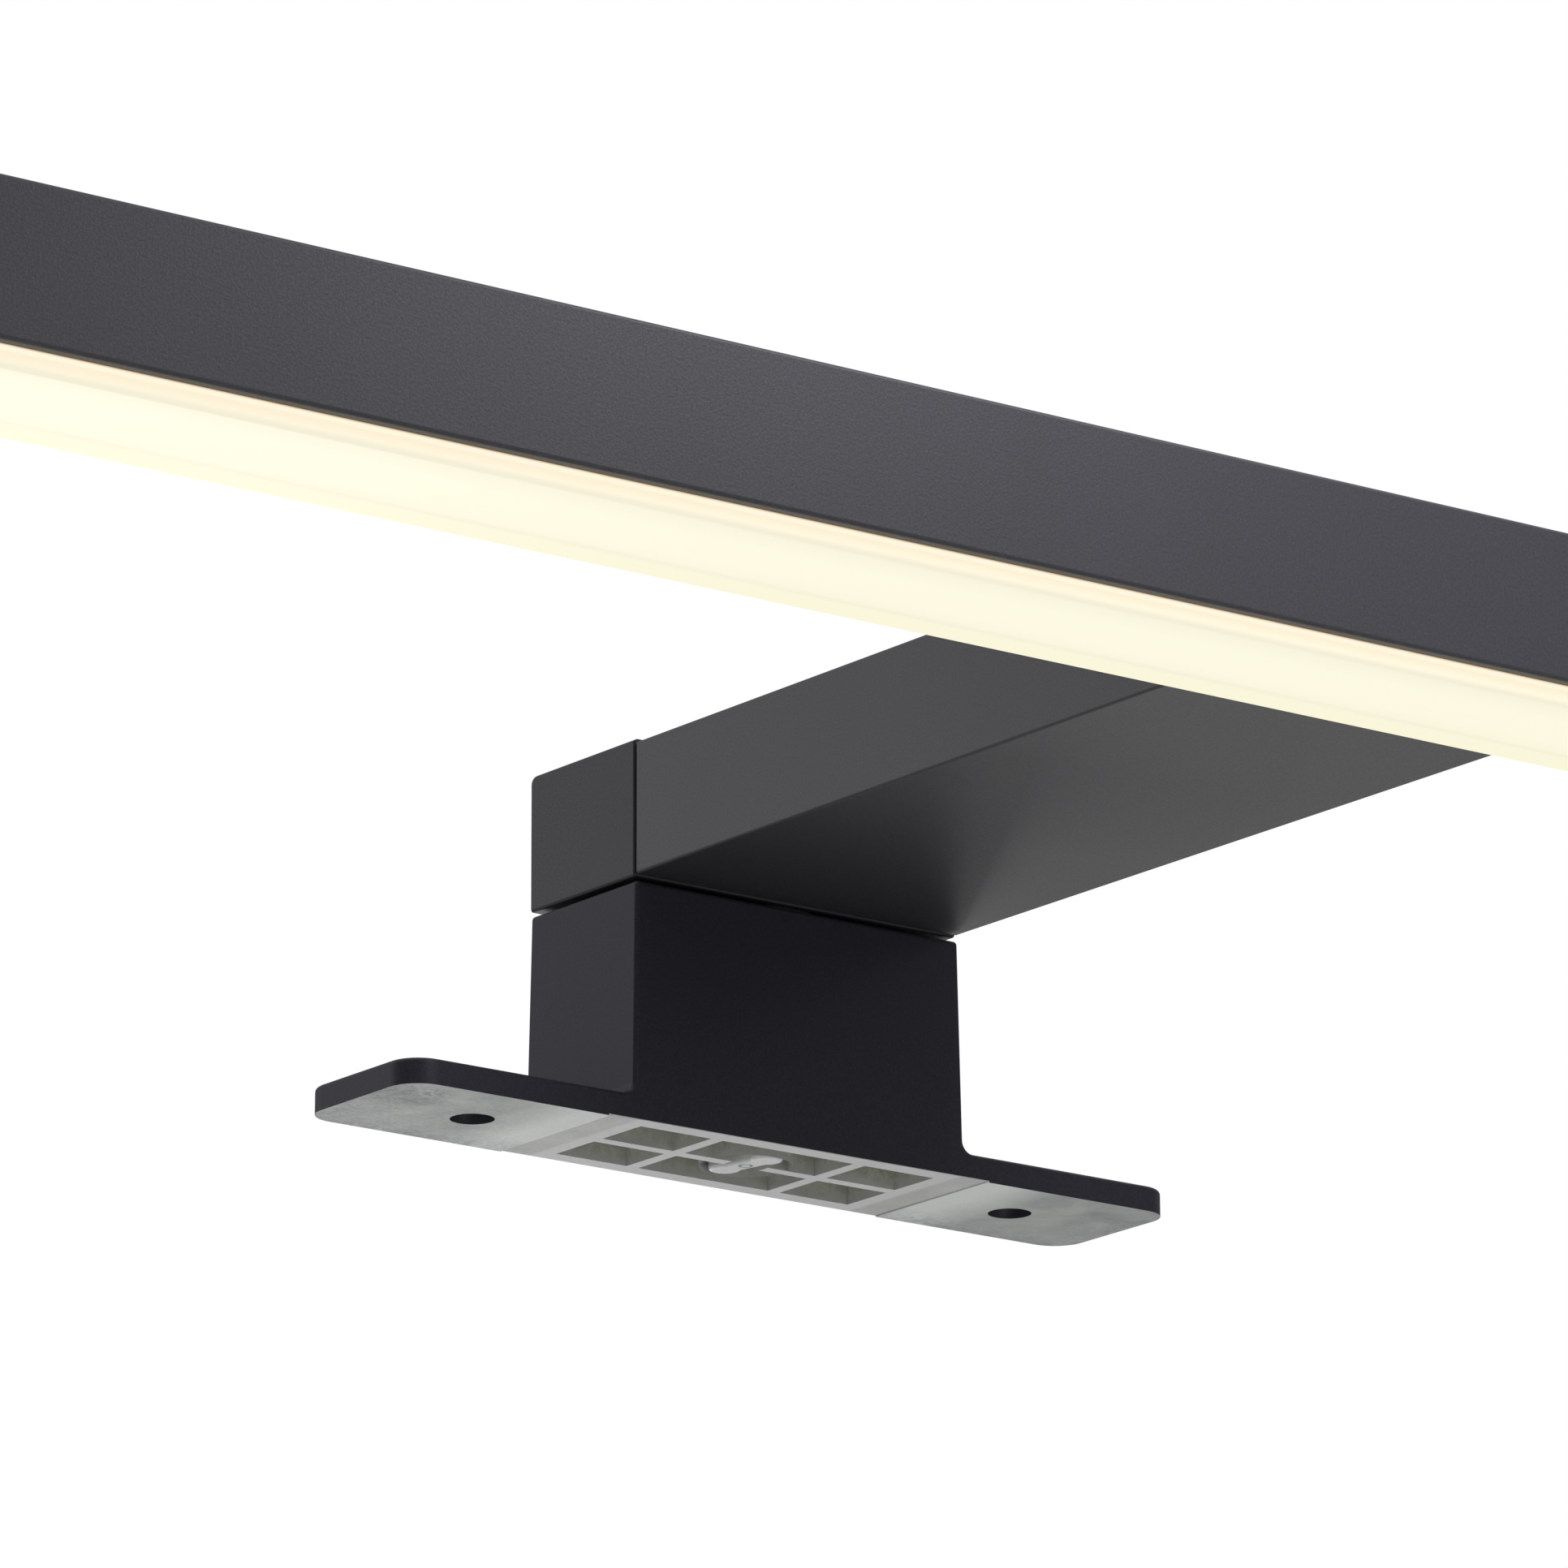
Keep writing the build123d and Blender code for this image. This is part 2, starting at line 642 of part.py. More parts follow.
with BuildPart() as diffuser:
    wall_top = web_bottom - diffuser_stop
    with BuildSketch(section_plane):
        with Locations((0, (diffuser_bottom + wall_top) / 2)):
            Rectangle(diffuser_width, wall_top - diffuser_bottom)
        fillet(vertices().group_by(Axis.Y)[0], diffuser_edge_round)
        with Locations((0, bar_bottom + snap_height)):
            Rectangle(diffuser_width + 2 * snap_rib_out, snap_rib_height)
        with Locations((0, (diffuser_bottom + diffuser_floor + wall_top) / 2)):
            Rectangle(
                diffuser_width - 2 * diffuser_wall,
                wall_top - diffuser_bottom - diffuser_floor,
                mode=Mode.SUBTRACT,
            )
    extrude(amount=profile_length)
save(diffuser, "diffuser")

# --- Light board --------------------------------------------------------------------------

with BuildPart() as thermal_tape:
    with BuildSketch(Plane.XY.offset(board_top)):
        with Locations((0, bar_middle)):
            Rectangle(board_length, tape_width)
        with Locations((lead_middle, lead_drop_place)):
            SlotOverall(lead_spacing + 4 * lead_radius, 3 * lead_radius, mode=Mode.SUBTRACT)
    extrude(amount=tape_thickness)
save(thermal_tape, "thermal_tape")

with BuildPart() as led_board:
    with BuildSketch(Plane.XY.offset(board_bottom)):
        with Locations((0, bar_middle)):
            Rectangle(board_length, board_width)
        with Locations(*[(offset, lead_drop_place) for offset in lead_offsets]):
            Circle(lead_radius + close_gap, mode=Mode.SUBTRACT)
    extrude(amount=board_thickness)
save(led_board, "led_board")

with BuildPart() as leds:
    with BuildSketch(Plane.XY.offset(board_bottom)):
        with Locations((0, bar_middle)):
            with GridLocations(led_pitch, led_pitch, led_count, 1):
                Rectangle(led_length, led_width)
    extrude(amount=-led_height)
save(leds, "leds")

# --- Driver and leads ---------------------------------------------------------------------


def component(name, x, y, z):
    """Saves a plain box-shaped component between the given low and high values."""
    body = block_between(x, y, z)
    with BuildPart() as piece:
        add(body)
        chamfer(piece.faces().sort_by(Axis.Z)[-1].edges(), component_top_gap)
    save(piece, name)


def capacitor_can(x, y_rear, length):
    """An electrolytic capacitor that lies along the board, with a groove rolled round its can."""
    radius = component_height / 2
    groove = can_groove_share * radius
    with BuildPart() as can:
        with BuildSketch(Plane.XZ.offset(-y_rear)):
            with Locations((x, driver_board_top + radius)):
                Circle(radius)
        extrude(amount=length)
        fillet(can.faces().filter_by(Axis.Y).edges(), can_round_share * radius)
        with BuildSketch(Plane.XZ.offset(-y_rear + can_groove_place * length)):
            with Locations((x, driver_board_top + radius)):
                Circle(2 * radius)
                Circle(radius - groove, mode=Mode.SUBTRACT)
        extrude(amount=2 * groove, mode=Mode.SUBTRACT)
    return can.part


with BuildPart() as driver_sleeve:
    with BuildSketch(Plane.XZ.offset(-sleeve_rear)):
        with Locations((0, sleeve_bottom + sleeve_height / 2)):
            Rectangle(sleeve_width, sleeve_height)
            Rectangle(sleeve_width - 2 * sleeve_wall, sleeve_height - 2 * sleeve_wall, mode=Mode.SUBTRACT)
    extrude(amount=sleeve_rear - sleeve_front)
save(driver_sleeve, "driver_sleeve")

driver_pad_body = block_between(
    (-driver_side, driver_side),
    (driver_front + component_gap, driver_rear - component_gap),
    (driver_board_bottom - driver_pad_thickness, driver_board_bottom),
)
with BuildPart() as driver_pad:
    add(driver_pad_body)
save(driver_pad, "driver_pad")

driver_board_body = block_between(
    (-driver_board_width / 2, driver_board_width / 2),
    (driver_front, driver_rear),
    (driver_board_bottom, driver_board_top),
)
with BuildPart() as driver_board:
    add(driver_board_body)
save(driver_board, "driver_board")

# Mains side: terminal and fuse, then filter capacitor and choke.
terminal_middle = -driver_side + terminal_width / 2
terminal_front = driver_rear - terminal_length
terminal_body = block_between(
    (-driver_side, -driver_side + terminal_width),
    (terminal_front, driver_rear),
    (driver_board_top, component_top),
)
pole_offsets = (-terminal_width / 4, terminal_width / 4)
pole_places = [(terminal_middle + offset, (terminal_front + driver_rear) / 2) for offset in pole_offsets]
entry_height = driver_board_top + 2 * terminal_entry_radius
with BuildPart() as input_terminal:
    add(terminal_body)
    with BuildSketch(Plane.XZ.offset(-driver_rear)):
        with Locations(*[(terminal_middle + offset, entry_height) for offset in pole_offsets]):
            Circle(terminal_entry_radius)
    extrude(amount=terminal_length / 2, mode=Mode.SUBTRACT)
    with BuildSketch(Plane.XY.offset(component_top)):
        with Locations(*pole_places):
            Circle(terminal_screw_radius + close_gap)
    extrude(amount=entry_height - component_top, mode=Mode.SUBTRACT)
save(input_terminal, "input_terminal")

with BuildPart() as terminal_screws:
    with BuildSketch(Plane.XY.offset(component_top - terminal_screw_sink)):
        with Locations(*pole_places):
            Circle(terminal_screw_radius)
    extrude(amount=entry_height + terminal_entry_radius + terminal_screw_sink - component_top)
    with BuildSketch(Plane.XY.offset(component_top - terminal_screw_sink)):
        with Locations(*pole_places):
            Rectangle(2 * terminal_screw_radius, slot_share * terminal_screw_radius)
    extrude(amount=-terminal_screw_sink, mode=Mode.SUBTRACT)
save(terminal_screws, "terminal_screws")

fuse_middle = driver_side - fuse_radius
with BuildPart() as input_fuse:
    with BuildSketch(Plane.XZ.offset(-driver_rear)):
        with Locations((fuse_middle, driver_board_top + fuse_radius)):
            Circle(fuse_radius)
    extrude(amount=fuse_length)
    with BuildSketch(Plane.XZ.offset(-driver_rear + fuse_cap_length)):
        with Locations((fuse_middle, driver_board_top + fuse_radius)):
            Circle(2 * fuse_radius)
            Circle(fuse_radius - close_gap, mode=Mode.SUBTRACT)
    extrude(amount=fuse_length - 2 * fuse_cap_length, mode=Mode.SUBTRACT)
save(input_fuse, "input_fuse")

filter_rear = terminal_front - component_gap
component(
    "filter_capacitor",
    (-driver_side, -driver_side + film_capacitor_length),
    (filter_rear - film_capacitor_width, filter_rear),
    (driver_board_top, component_top),
)

with BuildPart() as filter_choke:
    with BuildSketch(Plane.XY.offset(driver_board_top)):
        with Locations((driver_side - choke_radius, filter_rear - choke_radius)):
            Circle(choke_radius)
    extrude(amount=component_height)
    with BuildSketch(Plane.XY.offset(driver_board_top + choke_flange)):
        with Locations((driver_side - choke_radius, filter_rear - choke_radius)):
            Circle(2 * choke_radius)
            Circle(choke_radius - choke_waist, mode=Mode.SUBTRACT)
    extrude(amount=component_height - 2 * choke_flange, mode=Mode.SUBTRACT)
save(filter_choke, "filter_choke")

# Middle: rectifier, controller and the reservoir capacitor beside them.
middle_rear = filter_rear - 2 * choke_radius - component_gap
component(
    "rectifier",
    (-driver_side, -driver_side + rectifier_size),
    (middle_rear - rectifier_size, middle_rear),
    (driver_board_top, driver_board_top + rectifier_height),
)
controller_rear = middle_rear - rectifier_size - component_gap
component(
    "controller",
    (-driver_side, -driver_side + controller_size),
    (controller_rear - controller_size, controller_rear),
    (driver_board_top, driver_board_top + controller_height),
)
can_middle = driver_side - component_height / 2
reservoir = capacitor_can(can_middle, middle_rear, reservoir_length)
output_can_rear = driver_front + connector_length + output_capacitor_length / 2
output_can = capacitor_can(can_middle, output_can_rear, output_capacitor_length)
with BuildPart() as driver_capacitors:
    add([reservoir, output_can])
save(driver_capacitors, "driver_capacitors")

# Low-voltage side: transformer and output connector.
transformer_rear = middle_rear - reservoir_length - component_gap
transformer_front = transformer_rear - transformer_length
transformer_body = block_between(
    (-driver_side, -driver_side + transformer_width),
    (transformer_front, transformer_rear),
    (driver_board_top, component_top),
)
winding_x = (-driver_side + ferrite_width / 2, -driver_side + transformer_width - ferrite_width / 2)
winding_y = (transformer_front + ferrite_width / 2, transformer_rear - ferrite_width / 2)
winding_room = block_between(winding_x, winding_y, (driver_board_top, component_top))
with BuildPart() as transformer_core:
    add(transformer_body)
    add(winding_room, mode=Mode.SUBTRACT)
save(transformer_core, "transformer_core")

with BuildPart() as transformer_winding:
    add(winding_room)
    chamfer(transformer_winding.faces().sort_by(Axis.Z)[-1].edges(), 2 * component_top_gap)
save(transformer_winding, "transformer_winding")

connector_body = block_between(
    (lead_middle - connector_width / 2, lead_middle + connector_width / 2),
    (driver_front, driver_front + connector_length),
    (driver_board_top, component_top),
)
with BuildPart() as output_connector:
    add(connector_body)
    with BuildSketch(Plane.XZ.offset(-driver_front)):
        with Locations(*[(offset, lead_height) for offset in lead_offsets]):
            Circle(lead_radius + close_gap)
    extrude(amount=-connector_length / 2, mode=Mode.SUBTRACT)
save(output_connector, "output_connector")

# Each lead runs from the connector through the bar's rear wall and bends down to the board.
lead_runs = []
for lead_x in lead_offsets:
    lead_start = (lead_x, driver_front + connector_length / 2, lead_height)
    lead_end = (lead_x, lead_drop_place, board_bottom)
    with BuildPart() as lead:
        with BuildLine() as lead_path:
            FilletPolyline(lead_start, (lead_x, lead_drop_place, lead_height), lead_end, radius=lead_bend)
        with BuildSketch(Plane(origin=lead_start, z_dir=(0, -1, 0))):
            Circle(lead_radius)
        sweep(path=lead_path.line)
    lead_runs.append(lead.part)
with BuildPart() as output_leads:
    add(lead_runs)
save(output_leads, "output_leads")

with BuildPart() as lead_grommet:
    flange_width = lead_grommet_width + 2 * lead_grommet_lip
    flange_height = lead_grommet_height + 2 * lead_grommet_lip
    for face, width, height, depth in (
        (bar_rear + lead_grommet_flange, flange_width, flange_height, lead_grommet_flange),
        (bar_rear, lead_grommet_width - 2 * close_gap, lead_grommet_height - 2 * close_gap, bar_wall),
        (clamp_rear, flange_width, flange_height, lead_grommet_flange),
    ):
        with BuildSketch(Plane.XZ.offset(-face)):
            with Locations((lead_middle, lead_height)):
                RectangleRounded(width, height, 1 - close_gap)
        extrude(amount=depth)
    with BuildSketch(Plane.XZ.offset(-bar_rear - lead_grommet_flange)):
        with Locations(*[(offset, lead_height) for offset in lead_offsets]):
            Circle(lead_radius + close_gap)
    extrude(amount=bar_wall + 2 * lead_grommet_flange, mode=Mode.SUBTRACT)
save(lead_grommet, "lead_grommet")

# --- End caps -----------------------------------------------------------------------------


def draw_cap_outline(inset):
    """Adds the bar's section and the diffuser's lower part, drawn that much smaller, to a sketch."""
    lower_height = diffuser_drop + bar_edge_round
    with Locations((0, (bar_top + bar_bottom) / 2)):
        RectangleRounded(bar_depth - 2 * inset, bar_height - 2 * inset, bar_edge_round)
    with Locations((0, diffuser_bottom + inset + lower_height / 2)):
        Rectangle(diffuser_width - 2 * inset, lower_height)


def end_pieces(side):
    """The cap, its seal and its screw at one end of the bar: side is -1 on the left, 1 on the right."""
    outside = Plane(origin=(side * bar_length / 2, bar_middle, 0), x_dir=(0, side, 0), z_dir=(side, 0, 0))
    inside = outside.offset(-cap_thickness)
    screw_place = Plane(
        origin=(side * bar_length / 2, bar_middle, port_height), x_dir=(0, side, 0), z_dir=(side, 0, 0)
    )
    tongue_gap = screw_port_radius + sliding_gap
    tongue_edge = trough_width / 2 - sliding_gap
    tongue_places = [(end * (tongue_gap + tongue_edge) / 2, clamp_middle) for end in (-1, 1)]
    cap_hole = countersunk_hole(screw_place, cap_screw_radius, cap_thickness, cap_screw_head_radius)
    with BuildPart() as cap:
        with BuildSketch(outside):
            draw_cap_outline(0)
        extrude(amount=-cap_thickness)
        chamfer(cap.faces().sort_by(Axis(outside.origin, outside.z_dir))[-1].edges(), cap_edge_round)
        with BuildSketch(inside):
            with Locations(*tongue_places):
                Rectangle(tongue_edge - tongue_gap, clamp_height)
        extrude(amount=-cap_seal_thickness - cap_tongue)
        add(cap_hole, mode=Mode.SUBTRACT)
    with BuildPart() as seal:
        with BuildSketch(inside):
            draw_cap_outline(cap_seal_inset)
        extrude(amount=-cap_seal_thickness)
        with BuildSketch(inside):
            with Locations((0, port_height)):
                Circle(cap_screw_radius + close_gap)
            with Locations(*tongue_places):
                Rectangle(tongue_edge - tongue_gap + 2 * close_gap, clamp_height + 2 * close_gap)
        extrude(amount=-cap_seal_thickness, mode=Mode.SUBTRACT)
    screw = countersunk_screw(screw_place, cap_screw_radius, cap_screw_length, cap_screw_head_radius)
    return cap, seal, screw


end_sets = {"left": end_pieces(-1), "right": end_pieces(1)}
for name, (cap, seal, screw) in end_sets.items():
    save(cap, f"end_cap_{name}")
    save(seal, f"end_seal_{name}")
with BuildPart() as end_cap_screws:
    add([screw for cap, seal, screw in end_sets.values()])
save(end_cap_screws, "end_cap_screws")
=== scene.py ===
from math import cos, radians, sin

import bpy
from mathutils import Matrix, Vector


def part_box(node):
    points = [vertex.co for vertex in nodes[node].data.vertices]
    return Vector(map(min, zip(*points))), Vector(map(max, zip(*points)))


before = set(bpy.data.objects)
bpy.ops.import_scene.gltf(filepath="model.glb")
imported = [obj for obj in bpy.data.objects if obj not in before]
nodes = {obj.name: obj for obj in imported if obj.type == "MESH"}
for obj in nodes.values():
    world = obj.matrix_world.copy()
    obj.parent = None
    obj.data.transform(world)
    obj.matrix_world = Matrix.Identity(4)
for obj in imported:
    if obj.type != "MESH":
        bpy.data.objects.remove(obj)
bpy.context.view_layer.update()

mm = 0.001

# --- Node materials -----------------------------------------------------------------------


class Finish:
    """A material being built up. Each method adds one node and returns what it gives out."""

    def __init__(self, name):
        self.material = bpy.data.materials.new(name)
        self.material.use_nodes = True
        self.tree = self.material.node_tree
        self.shader = self.tree.nodes["Principled BSDF"]
        self.place = self.add("ShaderNodeTexCoord").outputs["Object"]

    def add(self, kind, **settings):
        """A new node of the kind, with its settings."""
        node = self.tree.nodes.new(kind)
        for key, value in settings.items():
            setattr(node, key, value)
        return node

    def put(self, socket, value):
        """Links an output into a socket, or sets the socket when the value is plain."""
        if isinstance(value, bpy.types.NodeSocket):
            self.tree.links.new(value, socket)
        else:
            socket.default_value = value

    def stretched(self, factors):
        """Object coordinates, multiplied along each axis."""
        mapping = self.add("ShaderNodeMapping")
        self.put(mapping.inputs["Vector"], self.place)
        mapping.inputs["Scale"].default_value = factors
        return mapping.outputs["Vector"]

    def noise(self, size, detail=3.0, roughness=0.5, stretch=None, warp=0.0):
        """Smooth noise whose features are about the given size in metres."""
        node = self.add("ShaderNodeTexNoise")
        self.put(node.inputs["Vector"], self.stretched(stretch) if stretch else self.place)
        node.inputs["Scale"].default_value = 1 / size
        node.inputs["Detail"].default_value = detail
        node.inputs["Roughness"].default_value = roughness
        node.inputs["Distortion"].default_value = warp
        return node.outputs["Fac"]

    def axis(self, letter):
        """One object coordinate."""
        node = self.add("ShaderNodeSeparateXYZ")
        self.put(node.inputs["Vector"], self.place)
        return node.outputs[letter]

    def facing(self, letter):
        """One component of the surface's normal."""
        node = self.add("ShaderNodeSeparateXYZ")
        self.put(node.inputs["Vector"], self.add("ShaderNodeNewGeometry").outputs["Normal"])
        return node.outputs[letter]

    def math(self, operation, first, second=0.0, clamp=False):
        """One sum on two values or outputs."""
        node = self.add("ShaderNodeMath", operation=operation, use_clamp=clamp)
        self.put(node.inputs[0], first)
        self.put(node.inputs[1], second)
        return node.outputs["Value"]

    def ramp(self, factor, *stops):
        """Stops are (position, colour) pairs, and a colour may be one grey value."""
        node = self.add("ShaderNodeValToRGB")
        self.put(node.inputs["Fac"], factor)
        elements = node.color_ramp.elements
        while len(elements) < len(stops):
            elements.new(0.5)
        for element, (position, colour) in zip(elements, stops):
            element.position = position
            element.color = (*colour, 1) if isinstance(colour, tuple) else (colour,) * 3 + (1,)
        return node.outputs["Color"]

    def between(self, value, low, high):
        """0 below low, 1 above high, and a straight climb between them."""
        node = self.add("ShaderNodeMapRange")
        self.put(node.inputs["Value"], value)
        node.inputs["From Min"].default_value = low
        node.inputs["From Max"].default_value = high
        return node.outputs["Result"]

    def spot(self, x, y, radius):
        """1 at a place seen from above, falling to 0 at the radius."""
        mapping = self.add("ShaderNodeMapping")
        self.put(mapping.inputs["Vector"], self.place)
        mapping.inputs["Location"].default_value = (-x, -y, 0)
        mapping.inputs["Scale"].default_value = (1, 1, 0)
        length = self.add("ShaderNodeVectorMath", operation="LENGTH")
        self.put(length.inputs[0], mapping.outputs["Vector"])
        return self.between(length.outputs["Value"], radius, 0.0)

    def mix(self, factor, first, second):
        """The first colour where factor is 0, the second where it is 1."""
        node = self.add("ShaderNodeMix", data_type="RGBA")
        self.put(node.inputs[0], factor)
        for socket, value in (("A_Color", first), ("B_Color", second)):
            value = (value,) * 3 if isinstance(value, float) else value
            socket = next(each for each in node.inputs if each.identifier == socket)
            self.put(socket, (*value, 1) if isinstance(value, tuple) else value)
        return next(each for each in node.outputs if each.identifier == "Result_Color")

    def bump(self, height, depth):
        """Raises the surface by up to depth metres where height is 1."""
        node = self.add("ShaderNodeBump")
        node.inputs["Distance"].default_value = depth
        self.put(node.inputs["Height"], height)
        return node.outputs["Normal"]

    def set(self, **sockets):
        """Fills the shader's sockets, named with _ for a space."""
        for name, value in sockets.items():
            value = (*value, 1) if isinstance(value, tuple) and len(value) == 3 else value
            self.put(self.shader.inputs[name.replace("_", " ")], value)
        return self


def fine_coat(name, dark, light, grain, roughness, grain_depth, gleam):
    """Matt black finish with a fine, slightly sparkling grain and faint clouds."""
    finish = Finish(name)
    grains = finish.noise(grain, detail=2, roughness=0.7)
    clouds = finish.noise(14 * mm, detail=3)
    tone = finish.ramp(grains, (0.34, dark), (0.66, light))
    tone = finish.mix(0.16, tone, finish.ramp(clouds, (0.3, dark), (0.7, light)))
    specks = finish.ramp(finish.noise(0.6 * grain, detail=1), (0.66, 0.0), (0.76, 1.0))
    tone = finish.mix(finish.math("MULTIPLY", specks, 0.3), tone, tuple(2.2 * c for c in light))
    gloss = finish.ramp(grains, (0.3, roughness + 0.05), (0.7, roughness - 0.05))
    return finish.set(
        Base_Color=tone, Roughness=gloss, Normal=finish.bump(grains, grain_depth), Specular_IOR_Level=gleam
    ).material


def cast_foot():
    """Zinc casting: black coat outside, raw metal under the plate and inside the post."""
    finish = Finish("cast_foot")
    # From the foot's middle, or up from the furniture.
    hollow_end = 17.0 * mm
    hollow_side = 7.2 * mm
    hollow_roof = 20.8 * mm
    plate_face = 1.0 * mm
    pad_end = 21.0 * mm
    pad_step_top = 0.16 * mm
    seam = 0.2 * mm  # the width in which the coat gives way to raw metal

    out = finish.math("ABSOLUTE", finish.axis("X"))
    across = finish.math("ABSOLUTE", finish.axis("Y"))
    inside_x = finish.between(out, hollow_end + seam, hollow_end)
    inside_y = finish.between(across, hollow_side + seam, hollow_side)
    below_roof = finish.between(finish.axis("Z"), hollow_roof, hollow_roof - 2 * seam)
    inside = finish.math("MULTIPLY", finish.math("MULTIPLY", inside_x, inside_y), below_roof)
    underside = finish.between(finish.facing("Z"), -0.4, -0.7)
    near_face = finish.between(finish.axis("Z"), plate_face, plate_face - seam)
    raw = finish.math("MAXIMUM", inside, finish.math("MULTIPLY", underside, near_face))
    step_height = finish.between(finish.axis("Z"), pad_step_top + 0.01 * mm, pad_step_top)
    step_place = finish.between(out, pad_end + seam, pad_end + seam / 2)
    raw = finish.math("MAXIMUM", raw, finish.math("MULTIPLY", step_height, step_place))

    # Raw zinc: pale and cloudy on the pads, and brightest where they end, which is a painted highlight of
    # the lit step edge.
    clouds = finish.noise(8 * mm, detail=6, roughness=0.6, warp=0.5)
    zinc = finish.ramp(
        clouds, (0.3, (0.28, 0.295, 0.29)), (0.5, (0.39, 0.405, 0.39)), (0.72, (0.51, 0.525, 0.51))
    )
    # Painted highlight: the zinc is lightened from each pad's step out to 8 mm, for the light that the step
    # edge catches.
    past_step = finish.between(out, pad_end - seam / 2, pad_end)
    pad_end_highlight = finish.math("MULTIPLY", past_step, finish.between(out, pad_end + 8 * mm, pad_end + 2.5 * mm))
    zinc = finish.mix(finish.math("MULTIPLY", pad_end_highlight, 0.75), zinc, (0.80, 0.82, 0.80))
    # Dull stains: one on the left pad, and more along the ends and the rear edge.
    mottle = finish.noise(1.6 * mm, detail=8, roughness=0.75, warp=1.5)
    blotches = finish.ramp(mottle, (0.40, 0.0), (0.60, 1.0))
    stained = finish.math("MULTIPLY", finish.spot(-39.5 * mm, -3.8 * mm, 4.5 * mm), 2.4, clamp=True)
    ends = finish.between(out, 36 * mm, 43 * mm)
    rear_edge = finish.between(finish.axis("Y"), 3.5 * mm, 8 * mm)
    edges = finish.math("MULTIPLY", finish.math("MAXIMUM", ends, rear_edge), 0.6)
    stained = finish.math("MULTIPLY", finish.math("MAXIMUM", stained, edges), blotches)
    zinc = finish.mix(stained, zinc, (0.20, 0.215, 0.22))
    # Duller between the pads, with brighter ribs and cloudy pockets.
    middle = finish.between(out, pad_end + seam / 2, pad_end - seam / 2)
    dull = finish.ramp(clouds, (0.3, (0.42, 0.43, 0.415)), (0.7, (0.55, 0.56, 0.545)))
    zinc = finish.mix(middle, zinc, dull)
    near_ribs = finish.between(out, hollow_end + 1.2 * mm, hollow_end + 0.6 * mm)
    ribs = finish.math("MULTIPLY", near_ribs, underside)
    zinc = finish.mix(finish.math("MULTIPLY", ribs, 0.6), zinc, (0.70, 0.715, 0.71))
    deep = finish.between(finish.axis("Z"), 0.2 * mm, 1.2 * mm)
    pocket = finish.ramp(mottle, (0.35, (0.46, 0.47, 0.40)), (0.65, (0.68, 0.69, 0.61)))
    zinc = finish.mix(deep, zinc, pocket)

    grains = finish.noise(0.22 * mm, detail=2, roughness=0.7)
    coat = finish.ramp(grains, (0.34, (0.020, 0.019, 0.0265)), (0.66, (0.028, 0.0272, 0.0365)))
    skin = finish.noise(0.5 * mm, detail=4, roughness=0.6)
    height = finish.mix(raw, finish.math("MULTIPLY", grains, 0.35), skin)
    return finish.set(
        Base_Color=finish.mix(raw, coat, zinc),
        Metallic=finish.math("MULTIPLY", raw, 0.3),
        Roughness=finish.mix(raw, 0.45, finish.ramp(skin, (0.3, 0.62), (0.7, 0.5))),
        Normal=finish.bump(height, 0.03 * mm),
        Specular_IOR_Level=0.2,
    ).material


def opal_diffuser():
    """Opal strip lit from inside: nearly white below and warmer up its sides."""
    finish = Finish("opal_diffuser")
    low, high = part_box("diffuser")
    bar_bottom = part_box("bar_profile")[0].z
    side = finish.between(finish.axis("Z"), low.z + 0.1 * mm, low.z + 0.55 * mm)
    up_side = finish.between(finish.axis("Z"), low.z, bar_bottom)
    across = finish.between(finish.axis("Y"), low.y, high.y)
    bottom = finish.ramp(
        across,
        (0.0, (0.80, 0.76, 0.60)),
        (0.25, (0.86, 0.84, 0.66)),
        (0.60, (0.86, 0.83, 0.65)),
        (0.70, (0.84, 0.81, 0.63)),
        (0.735, (0.79, 0.76, 0.59)),
        (0.78, (0.83, 0.81, 0.61)),
        (1.0, (0.83, 0.81, 0.60)),
    )
    flank = finish.ramp(
        up_side,
        (0.25, (0.91, 0.83, 0.64)),
        (0.68, (0.92, 0.82, 0.61)),
        (0.80, (0.96, 0.89, 0.72)),
        (0.93, (0.94, 0.85, 0.66)),
        (1.0, (0.55, 0.36, 0.20)),
    )
    drift = finish.noise(60 * mm, detail=2)
    glow = finish.mix(side, bottom, flank)
    glow = finish.mix(finish.math("MULTIPLY", drift, 0.12), glow, (0.84, 0.74, 0.52))
    finish.set(
        Base_Color=(0.16, 0.155, 0.14),
        Roughness=0.5,
        Specular_IOR_Level=0.15,
        Emission_Color=glow,
        Normal=finish.bump(finish.noise(3 * mm, stretch=(0.1, 1, 1)), 0.02 * mm),
    )
    finish.shader.inputs["Emission Strength"].default_value = 1.0
    return finish.material


def plated_steel(name, colour=(0.62, 0.63, 0.64), roughness=0.32):
    """Zinc-plated or plain metal with fine turning marks and small dull patches."""
    finish = Finish(name)
    patches = finish.noise(1.2 * mm, detail=5, roughness=0.6)
    marks = finish.noise(0.12 * mm, detail=2)
    darker = tuple(0.7 * c for c in colour)
    return finish.set(
        Base_Color=finish.ramp(patches, (0.35, darker), (0.6, colour)),
        Metallic=1.0,
        Roughness=finish.ramp(patches, (0.3, roughness + 0.15), (0.7, roughness)),
        Normal=finish.bump(marks, 0.01 * mm),
    ).material


